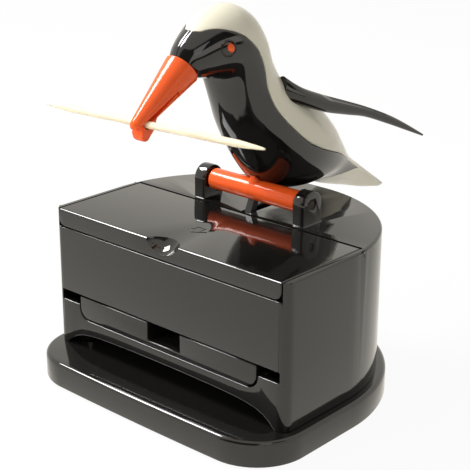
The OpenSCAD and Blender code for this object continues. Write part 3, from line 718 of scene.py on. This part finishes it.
class DISPENSER_OT_lid(Piece, bpy.types.Operator):
    """Lid with its finger scoop, a generic arrow and its hinge pins"""

    bl_idname = "dispenser.lid"
    bl_label = "Lid"

    thick = 2.2
    skirt = 4.2  # how far the front hangs below the top
    skirt_thick = 1.6
    corner = 2.0  # rounding of the skirt's lower corners
    lip = 0.28  # rounding of the skirt's edge and of the lid's ends
    hinge = 1.1  # radius round the hinge pins
    rear = 0.7  # rounding of the rear upper edge
    scoop = 6.45  # radius of the ball that cuts the finger scoop

    # ribs under the lid, as opposite corners from the middle of the front upper edge
    ribs = (
        ((-7.3, 1.0, -4.15), (7.3, 4.8, -2.0)),
        ((-24.6, 1.3, -3.4), (-23.4, 20.5, -2.0)),
        ((23.4, 1.3, -3.4), (24.6, 20.5, -2.0)),
    )

    def at(self, x, y, z):
        """A point in millimetres from the middle of the lid's front upper edge."""
        return Vector((x * MM, LID_LOW.y + y * MM, LID_HIGH.z + z * MM))

    def profile(self, x, half, inset):
        """Section at x, moved in: front edge, top, hinge round, underside and skirt, from the front upper edge."""
        edge = sizes().lid_edge
        end = half - abs(x)
        rise = self.corner - math.sqrt(self.corner**2 - (self.corner - end) ** 2) if end < self.corner else 0
        low = -self.skirt + rise
        back = (LID_HIGH.y - LID_LOW.y) / MM - self.hinge
        under, inner = -self.thick + inset, self.skirt_thick - inset
        foot = self.lip - inset * 0.99

        def arc(y, z, r, start, stop, count):
            angles = [math.radians(start + (stop - start) * k / count) for k in range(count + 1)]
            return [(y + r * math.cos(a), z + r * math.sin(a)) for a in angles]

        points = arc(edge, -edge, edge - inset, 180, 90, 8)
        points += arc(back + self.hinge - self.rear, -self.rear, self.rear - inset, 90, 0, 6)
        points += arc(back, -self.hinge, self.hinge - inset, 0, -90, 6)
        points += [(inner + 0.3, under), (inner + 0.06, under - 0.1), (inner, under - 0.3)]
        points += arc(self.skirt_thick - self.lip, low + self.lip, foot, 0, -90, 4)
        return points + arc(self.lip, low + self.lip, foot, -90, -180, 4)

    def rib(self, low, high):
        """A block between two opposite corners."""
        (x0, y0, z0), (x1, y1, z1) = low, high
        rings = [[self.at(x, y, z) for x, y in ((x0, y0), (x1, y0), (x1, y1), (x0, y1))] for z in (z0, z1)]
        return piece("rib", *loft(rings))

    def cut_scoop(self, lid):
        """Cuts the finger scoop with a ball and bevels its rim."""
        centre = self.at(0, -2.1, 3.2)
        angles = [math.radians(a) for a in range(0, 181, 2)]
        # the profile stays a hair off the axis, so that its ends aren't points
        ball = lathe([(self.scoop * math.sin(a) + 0.001, -self.scoop * math.cos(a)) for a in angles], 128)
        carve(lid, piece("scoop", *moved(ball, Matrix.Translation(centre))))
        bm = bmesh.new()
        bm.from_mesh(lid.data)
        bmesh.ops.remove_doubles(bm, verts=bm.verts, dist=4e-6)
        rim = [
            e
            for e in bm.edges
            if len(e.link_faces) == 2
            and e.calc_face_angle(0) > math.radians(14)
            and all(abs((v.co - centre).length - self.scoop * MM) < 3e-5 for v in e.verts)
        ]
        bmesh.ops.bevel(bm, geom=rim, offset=0.16 * MM, segments=3, profile=0.5, affect="EDGES", clamp_overlap=True)
        bm.to_mesh(lid.data)
        bm.free()

    def arrow(self):
        """Generic arrow towards the scoop, as a thin raised outline."""
        outer = [(-2.9, 0.0), (0.0, -2.1), (2.9, 0.0), (1.25, 0.0), (1.25, 1.7), (-1.25, 1.7), (-1.25, 0.0)]
        inner = [(-1.9, -0.28), (0.0, -1.66), (1.9, -0.28), (0.95, -0.28), (0.95, 1.4), (-0.95, 1.4), (-0.95, -0.28)]
        heights = ((outer, -0.3), (outer, 0.09), (inner, 0.09), (inner, -0.3))
        rings = [[self.at(x, 11.5 + y, h) for x, y in line] for line, h in heights]
        return piece("lid_arrow", *loft(rings, closed=True), angle=20)

    def build(self, context):
        half = LID_HIGH.x / MM
        steps = [(half - d, 0.0) for d in (2.0, 1.9, 1.7, 1.5, 1.25, 1.0, 0.75, 0.5, 0.35)]
        steps += [(half - self.lip + out, inset) for out, inset in rounding(self.lip)]
        between = [(x, 0.0) for x in (-24.0, -12.0, 0.0, 12.0, 24.0)]
        steps = [(-x, inset) for x, inset in reversed(steps)] + between + steps
        rings = [[self.at(x, y, z) for y, z in self.profile(x, half, inset)] for x, inset in steps]
        lid = piece("lid_moulded", *loft(rings), angle=30)
        for low, high in self.ribs:
            carve(lid, self.rib(low, high), "UNION")
        self.cut_scoop(lid)
        smooth(lid, 30)
        place(lid, "lid", "black_gloss", gloss_black(), "lid")
        place(self.arrow(), "lid", "black_gloss", gloss_black())
        dress(plain_steel(), "lid_pins")


class DISPENSER_OT_tray(Piece, bpy.types.Operator):
    """Sliding tray whose front is the tongue with the beak notch"""

    bl_idname = "dispenser.tray"
    bl_label = "Tray"

    def build(self, context):
        tray = rounded_copy("tray", "tray_moulded", 0.2)
        place(tray, "tray", "black_gloss", gloss_black(), "tray")


class DISPENSER_OT_inside(Piece, bpy.types.Operator):
    """Hopper, guide plate, crank, pins, lever and spring inside the box"""

    bl_idname = "dispenser.inside"
    bl_label = "Inner pieces"

    def build(self, context):
        place(rounded_copy("hopper", "hopper_moulded", 0.15), "base", "black_satin", satin_black(), "hopper")
        dress(satin_black(), "tray_guide", "crank", "drive_lever")
        dress(plain_steel(), "hopper_screws", "crank_pin", "tray_pin", "return_spring", "drive_pin")


class DISPENSER_OT_foot_bar(Piece, bpy.types.Operator):
    """Orange foot bar between the posts, with its axle rod"""

    bl_idname = "dispenser.foot_bar"
    bl_label = "Foot bar and axle"

    def build(self, context):
        flat = 0.5  # how much of the round is cut off underneath
        radius = (AXLE.z - BAR_LOW.z) / MM + flat
        half = BAR_HIGH.x / MM
        steps = [(half - 0.6 + out, inset) for out, inset in rounding(0.6)]
        ridge = [(x, -0.07 * (1 - abs(x + 1) / 0.6)) for x in (-1.6, -1.3, -1.0, -0.7, -0.4)]
        steps = [(-x, inset) for x, inset in reversed(steps)] + [(-5.0, 0.0)] + ridge + [(5.0, 0.0)] + steps
        rings = []
        for x, inset in steps:
            r = radius - inset
            rings.append([AXLE + MM * Vector((x, r * c, max(r * s, flat - r))) for c, s, _ in circle(64)])
        # a small rounded nub stands on the middle of the bar
        heights = [(0.0, 0.45)] + [(radius + h, w) for h, w in ((0.1, 0.3), (0.7, 0.0), (1.2, 0.0), (1.36, 0.15))]
        nub = [
            [AXLE + MM * Vector(((1.05 + w) * bulge(c, 0.5), (1.55 + w) * bulge(s, 0.5), z)) for c, s, _ in circle(32)]
            for z, w in heights
        ]
        bar = piece("foot_bar_moulded", *joined([loft(rings), loft(nub)]), angle=40)
        place(bar, "bird", "orange_gloss", gloss_orange(), "foot_bar")
        dress(dark_steel(), "axle_rod")


class DISPENSER_OT_bird(Piece, bpy.types.Operator):
    """The bird's black front shell and ivory back with the tail"""

    bl_idname = "dispenser.bird"
    bl_label = "Bird's shells"

    cut = 1.35  # stations by which the black shell's end is cut back towards the belly
    under = 1.2  # stations that the tail runs in under the black end
    tip = len(BIRD) - 1
    turn = 2.0  # degrees of the section that a shell's rounded edge takes

    def end(self, angle, edge):
        """Station where the black shell ends at an angle round the section."""
        a = angle if angle > -90 else -180 - angle
        return TAIL - self.cut * max(0.0, (edge - a) / (edge + 90)) ** 0.75

    def front_ring(self, s, inset, count=80):
        """Ring of the black shell at station s, moved in by some millimetres."""
        edge = seam(s) - (sizes().seam_gap if s > CAP else 0)
        share = max(0.0, (s - 9) / (TAIL - 9)) ** 2.2
        far, turn = -180 - edge, self.turn

        def at(angle, sunk):
            return body_point(s + share * (self.end(angle, edge) - TAIL), angle, max(sunk, inset))

        ring = [at(far + turn + (2 * edge + 180 - 2 * turn) * k / count, 0) for k in range(count + 1)]
        ring += [at(edge - turn * f, d) for f, d in LIP]
        ring += [at(edge - (2 * edge + 180) * k / count, SHELL) for k in range(count + 1)]
        return ring + [at(far + turn * f, d) for f, d in reversed(LIP)]

    def back_ring(self, f, count=72):
        """Ring of the ivory shell: f below -1 is a station, -1 to 0 lies under the black end, above 0 is the tail."""
        if f < -1:
            s = -f
            edge = seam(s) + sizes().seam_gap
            upper = lower = lambda angle, sunk: body_point(s, angle, sunk)
            back = [(edge + (180 - 2 * edge) * (1 - k / count), SHELL) for k in range(count + 1)]
        else:
            edge = spline(BIRD, TAIL + f * self.under)[5] + sizes().seam_gap

            def run(start):
                """Station at f on the way from start to the tail's tip."""
                return start + ((self.tip - start) * f if f > 0 else self.under * f)

            def upper(angle, sunk):
                return body_point(run(TAIL), angle, sunk)

            def lower(angle, sunk):
                return body_point(run(self.end(angle, edge) + 0.03), angle, sunk)

            # the belly side lies inside the black shell and comes out to the skin just behind its end
            deep = 1.62 if f < 0.001 else 0.3 if f < 0.003 else 0.06 if f < 0.008 else 0.0
            back = [(-180 - edge + (180 + 2 * edge) * k / count, deep) for k in range(count + 1)]
        turn, lip = (self.turn, LIP) if f < 0.001 else (0.02, [(0.4, 0), (0.2, 0), (0.0, 0)])
        ring = [upper(edge + turn + (180 - 2 * edge - 2 * turn) * k / count, 0) for k in range(count + 1)]
        ring += [upper(180 - edge - turn * g, d) for g, d in lip]
        ring += [lower(a, d) for a, d in back]
        return ring + [upper(edge + turn * g, d) for g, d in reversed(lip)]

    def build(self, context):
        # rings lie closer where the seam opens out between CAP and station 2
        opening = [0.14 * (k / 10) ** 2 for k in range(1, 11)]
        stations = [(0.0, 0.32), (0.015, 0.15), (0.04, 0.04), (0.08, 0.0)]
        stations += [(0.08 + (CAP - 0.08) * k / 22, 0.0) for k in range(1, 23)]
        stations += [(CAP + more, 0.0) for more in opening]
        stations += [(2.0 + (TAIL - 2.0) * k / 130, 0.0) for k in range(1, 131)]
        front = piece("bird_front_moulded", *loft([self.front_ring(s, d) for s, d in stations]), angle=40)
        place(front, "bird", "black_gloss", gloss_black(), "bird_front_shell")

        rings = [-(CAP + 0.01 + more) for more in opening]
        rings += [-(2.02 + (12.7 - 2.02) * k / 110) for k in range(1, 111)]
        rings += [-1 + k / 12 for k in range(13)] + [0.002, 0.006, 0.012]
        rings += [0.012 + 0.988 * k / 36 for k in range(1, 37)]
        back = piece("bird_back_moulded", *loft([self.back_ring(f) for f in rings]), angle=40)
        place(back, "bird", "ivory_gloss", gloss_ivory(), "bird_back_shell")


class DISPENSER_OT_wings(Piece, bpy.types.Operator):
    """Two thin curved wings"""

    bl_idname = "dispenser.wings"
    bl_label = "Wings"

    channel_end = 5.75  # station of the small step where the channel ends

    def channel(self, s, c):
        """Depth in millimetres of the channel along the top, at a cosine round the section."""
        across = min(1.0, 2.2 * max(0.0, 1 - abs(c - 0.42) / 0.42))
        start = min(1.0, max(0.0, (s - 2.6) / 0.5))
        stop = min(1.0, max(0.0, (self.channel_end - s) / 0.05))
        return 0.5 * across * start * stop

    def ring(self, s, side, count=64):
        x, y, z, thick, high = spline(WING, s)
        points = []
        for c, n, _ in circle(count):
            v = bulge(n, 1.2)
            if n > 0:
                v -= self.channel(s, c) / max(high, 0.3)
            across = side * (x + thick * bulge(c, 0.85))
            points.append(AXLE + MM * Vector((across, y + 0.35 * high * v, z + high * v)))
        return points

    def build(self, context):
        last = len(WING) - 1
        stations = sorted({last * k / 100 for k in range(101)} | {5.69, 5.7, 5.71, 5.73, 5.75, 5.76})
        for side, name in ((1, "left_wing"), (-1, "right_wing")):
            wing = piece(name + "_moulded", *loft([self.ring(s, side) for s in stations]), angle=50)
            place(wing, "bird", "black_gloss", gloss_black(), name)


class DISPENSER_OT_eyes(Piece, bpy.types.Operator):
    """Two orange beads in round dark cups"""

    bl_idname = "dispenser.eyes"
    bl_label = "Eyes"

    def build(self, context):
        inside = [(0.01, -0.28), (0.8, -0.3), (1.2, -0.2), (1.45, 0.02), (1.6, 0.2)]
        cup = lathe(inside + [(1.75, 0.27), (1.86, 0.18), (1.9, 0.0), (1.9, -1.2), (0.01, -1.2)], 56)
        angles = [math.radians(a) for a in range(0, 91, 10)]
        dome = [(0.78 * math.cos(a) + 0.001, 0.62 * math.sin(a)) for a in angles]
        bead = lathe([(0.01, -0.9), (0.74, -0.9)] + dome, 40)
        cups, beads = [], []
        for side in (1, -1):
            centre = Matrix.Translation(AXLE + MM * Vector((side * 6.9, -17.4, 37.6)))
            turn = centre @ Matrix.Rotation(math.radians(-side * 20), 4, "Z")
            out = Matrix.Rotation(math.radians(side * 90), 4, "Y")
            cups.append(moved(cup, turn @ out))
            # the bead is oval, leans and sits a little behind the cup's middle
            shift = Matrix.Translation(MM * Vector((0, 0.55, 0.1)))
            oval = Matrix.Rotation(math.radians(side * 25), 4, "Z") @ Matrix.Diagonal((1.4, 1.05, 1.0, 1.0))
            beads.append(moved(bead, turn @ shift @ out @ oval))
        place(piece("eye_cups", *joined(cups), angle=50), "bird", "dark_grey", cup_black(), "eye_rings")
        place(piece("eye_beads_moulded", *joined(beads), angle=50), "bird", "orange_gloss", gloss_orange(), "eye_beads")


class DISPENSER_OT_beak(Piece, bpy.types.Operator):
    """Upper half of the beak and its springy lower finger"""

    bl_idname = "dispenser.beak"
    bl_label = "Beak"

    def slit(self):
        """Wedge that opens the slit above the finger, wider towards the toothpick."""
        root = AXLE + MM * Vector((0, -24.8, 33.4))
        held = middle("held_toothpick") - root
        s, n = held.dot(BEAK_ALONG) / MM - 1.3, held.dot(BEAK_UP) / MM + 0.78
        wedge = [(6.1, n + 0.6), (6.1, n - 0.02), (s, n - 1.05), (s, n + 0.6)]
        rings = [[root + MM * (Vector((x, 0, 0)) + a * BEAK_ALONG + b * BEAK_UP) for a, b in wedge] for x in (-5, 5)]
        return piece("slit_cutter", *loft(rings))

    def soften(self, obj):
        """Evens out the mesh and rounds it off, most of all the tab under the toothpick."""
        even = obj.modifiers.new("even", "REMESH")
        even.mode, even.voxel_size = "VOXEL", 0.13 * MM
        settle(obj)
        held = middle("held_toothpick")
        bm = bmesh.new()
        bm.from_mesh(obj.data)
        tab = [v for v in bm.verts if (v.co - held).dot(BEAK_UP) < -0.7 * MM and (v.co - held).length < 5 * MM]
        for verts, times in ((bm.verts, 3), (tab, 45)):
            for _ in range(times):
                bmesh.ops.smooth_vert(bm, verts=verts, factor=0.5, use_axis_x=True, use_axis_y=True, use_axis_z=True)
        bm.to_mesh(obj.data)
        bm.free()
        smooth(obj, 60)

    def build(self, context):
        upper = rounded_copy("upper_beak", "upper_beak_moulded", 0.14, least=28)
        place(upper, "bird", "orange_gloss", gloss_orange(), "upper_beak")
        lower = rounded_copy("lower_beak", "lower_beak_moulded", 0.12, least=28)
        carve(lower, self.slit())
        self.soften(lower)
        place(lower, "beak_finger", "orange_gloss", gloss_orange(), "lower_beak")


class DISPENSER_OT_toothpicks(Piece, bpy.types.Operator):
    """The toothpick in the beak, the next one and the stock"""

    bl_idname = "dispenser.toothpicks"
    bl_label = "Toothpicks"

    half = 32.5  # half a toothpick's length

    def stick(self, seed):
        """One toothpick along X: turned, a little uneven, with pointed ends."""
        rings = []
        for k in range(66):
            x = k - self.half
            radius = 0.22 + 0.6 * min(1.0, (self.half - abs(x)) / 7) ** 0.8
            radius *= 1 - 0.012 * (1 + math.sin(2.1 * x + 3 * seed))
            ring = []
            for c, n, a in circle(24):
                r = radius * (1 - 0.012 * (1 + math.sin(5 * a + seed + 0.3 * x)))
                ring.append(MM * Vector((x, r * c, r * n)))
            rings.append(ring)
        return loft(rings)

    def lay(self, node, body, *sticks):
        """Toothpicks in place of a CAD node."""
        obj = piece(node + "_turned", *joined(sticks), angle=50)
        place(obj, body, "wood", birch(), node)

    def build(self, context):
        shift, tilt = sizes().pick_shift, sizes().pick_tilt
        lean = Matrix.Translation(middle("held_toothpick") + Vector((shift, 0, 0))) @ Matrix.Rotation(-tilt, 4, "Y")
        self.lay("held_toothpick", "held_pick", moved(self.stick(1), lean))
        waiting = Matrix.Translation(middle("next_toothpick"))
        self.lay("next_toothpick", "next_pick", moved(self.stick(2), waiting))
        places = enumerate(islands("toothpick_stock"), start=3)
        stock = [moved(self.stick(seed), Matrix.Translation(at)) for seed, at in places]
        self.lay("toothpick_stock", "base", *stock)


class DISPENSER_OT_stage(Piece, bpy.types.Operator):
    """Pale floor, soft lights, surroundings and the camera"""

    bl_idname = "dispenser.stage"
    bl_label = "Stage"

    def floor(self):
        """White for the camera with the object's shadow, warm in the gloss."""
        verts = [Vector((x, y, 0)) for x, y in ((-6, -6), (6, -6), (6, 6), (-6, 6))]
        floor = piece("floor", verts, [(0, 1, 2, 3)])
        material = bpy.data.materials.new("pale_floor")
        material.use_nodes = True
        board = Board(material.node_tree)
        seen, mirrored = board.rays()
        matt = board.node("ShaderNodeBsdfDiffuse", None, {"Color": (0.86, 0.86, 0.86, 1)})
        clean = board.node("ShaderNodeEmission", None, {"Color": (1, 1, 1, 1), "Strength": 1.0})
        warm = board.node("ShaderNodeEmission", None, {"Color": (1.0, 0.95, 0.86, 1), "Strength": 1.0})
        shown = board.node("ShaderNodeMixShader", None, {0: 0.94 * seen, 1: matt, 2: clean})
        mix = board.node("ShaderNodeMixShader", None, {0: 0.9 * mirrored, 1: shown, 2: warm})
        board.node("ShaderNodeOutputMaterial", None, {"Surface": mix})
        floor.data.materials.append(material)

    def surroundings(self):
        """White for the camera, an even light for the surfaces, a room with a dark side for the gloss."""
        world = bpy.data.worlds.new("studio")
        bpy.context.scene.world = world
        world.use_nodes = True
        board = Board(world.node_tree)
        seen, glossy = board.rays()
        split = board.node("ShaderNodeSeparateXYZ", None, {0: board.node("ShaderNodeTexCoord", output=0)})
        x, y, z = board.outputs(split, "X", "Y", "Z")
        # the dark side lies towards +X -Y above the table, with one bright panel in it
        dark = (x * 0.62 + y * -0.78).ramp(0.30, 0.42) * z.ramp(-0.03, 0.02) * (1 - z.ramp(0.72, 0.80))
        panel = (x * 0.97 + y * -0.25).ramp(0.80, 0.82) * z.ramp(0.12, 0.14) * (1 - z.ramp(0.42, 0.44))
        level = (1 - dark * 0.94) + 1.4 * panel * dark
        room = board.node("ShaderNodeBackground", None, {"Color": (1.0, 0.955, 0.87, 1), "Strength": level})
        even = board.node("ShaderNodeBackground", None, {"Color": (1, 0.985, 0.95, 1), "Strength": 0.34})
        white = board.node("ShaderNodeBackground", None, {"Color": (1, 1, 1, 1), "Strength": 1.0})
        gloss = board.node("ShaderNodeMixShader", None, {0: glossy, 1: even, 2: room})
        shown = board.node("ShaderNodeMixShader", None, {0: seen, 1: gloss, 2: white})
        board.node("ShaderNodeOutputWorld", None, {"Surface": shown})

    def lamp(self, name, towards, distance, size, power):
        """A square soft light that looks at the object from a direction and a distance."""
        light = bpy.data.lights.new(name, "AREA")
        light.shape, light.size, light.size_y, light.energy = "RECTANGLE", size, size, power
        lamp = bpy.data.objects.new(name, light)
        direction = Vector(towards).normalized()
        lamp.location = Vector((0, 0, 0.04)) + direction * distance
        lamp.rotation_euler = direction.to_track_quat("Z", "Y").to_euler()
        bpy.context.scene.collection.objects.link(lamp)
        return lamp

    def camera(self):
        """The photograph's viewpoint; focal length and shift are in pixels of its side."""
        side, focal, shift = 470, 1284.06, (-4.0, -15.03)
        target, distance = MM * Vector((-4.587, -5.6, 37.178)), 0.30932
        azimuth, elevation, roll = math.radians(41.83), math.radians(19.57), math.radians(0.27)
        level = math.cos(elevation)
        back = Vector((math.sin(azimuth) * level, -math.cos(azimuth) * level, math.sin(elevation)))
        right = (-back).cross(Vector((0, 0, 1))).normalized()
        up = right.cross(-back)
        right, up = math.cos(roll) * right + math.sin(roll) * up, math.cos(roll) * up - math.sin(roll) * right
        data = bpy.data.cameras.new("camera")
        data.sensor_width, data.lens = 36.0, focal / side * 36
        data.shift_x, data.shift_y = (pixels / side for pixels in shift)
        camera = bpy.data.objects.new("camera", data)
        turn = Matrix((right, up, back)).transposed().to_4x4()
        camera.matrix_world = Matrix.Translation(target + back * distance) @ turn
        bpy.context.scene.collection.objects.link(camera)
        bpy.context.scene.camera = camera

    def build(self, context):
        context.scene.view_settings.view_transform = "Standard"
        self.floor()
        self.surroundings()
        self.lamp("key_softbox", (-0.63, -0.22, 0.74), 0.62, 0.2, 4.2)
        self.lamp("fill_softbox", (0.75, -0.45, 0.62), 0.9, 0.3, 0.4)
        # lights the colours from the front without a mirror image in the gloss
        self.lamp("front_softbox", (-0.4, -0.85, 0.42), 0.8, 0.35, 2.4).visible_glossy = False
        self.camera()


class DISPENSER_PT_pieces(bpy.types.Panel):
    """Lists the pieces and what can be changed"""

    bl_idname = "DISPENSER_PT_pieces"
    bl_label = "Toothpick dispenser"
    bl_space_type = "VIEW_3D"
    bl_region_type = "UI"
    bl_category = "Dispenser"

    def draw(self, context):
        layout = self.layout
        for group in (context.scene.dispenser_sizes, context.scene.dispenser_finishes):
            box = layout.box()
            for name in group.__annotations__:
                box.prop(group, name)
        for operator in OPERATORS:
            layout.operator(operator.bl_idname)


OPERATORS = (
    DISPENSER_OT_base,
    DISPENSER_OT_box,
    DISPENSER_OT_lid,
    DISPENSER_OT_tray,
    DISPENSER_OT_inside,
    DISPENSER_OT_foot_bar,
    DISPENSER_OT_bird,
    DISPENSER_OT_wings,
    DISPENSER_OT_eyes,
    DISPENSER_OT_beak,
    DISPENSER_OT_toothpicks,
    DISPENSER_OT_stage,
)
CLASSES = (DispenserFinishes, DispenserSizes, *OPERATORS, DISPENSER_PT_pieces)


def register():
    for cls in CLASSES:
        bpy.utils.register_class(cls)
    bpy.types.Scene.dispenser_finishes = bpy.props.PointerProperty(type=DispenserFinishes)
    bpy.types.Scene.dispenser_sizes = bpy.props.PointerProperty(type=DispenserSizes)


def unregister():
    del bpy.types.Scene.dispenser_finishes
    del bpy.types.Scene.dispenser_sizes
    for cls in reversed(CLASSES):
        bpy.utils.unregister_class(cls)


def main():
    register()
    for operator in OPERATORS:
        getattr(bpy.ops.dispenser, operator.bl_idname.split(".")[1])()


if __name__ == "__main__":
    main()
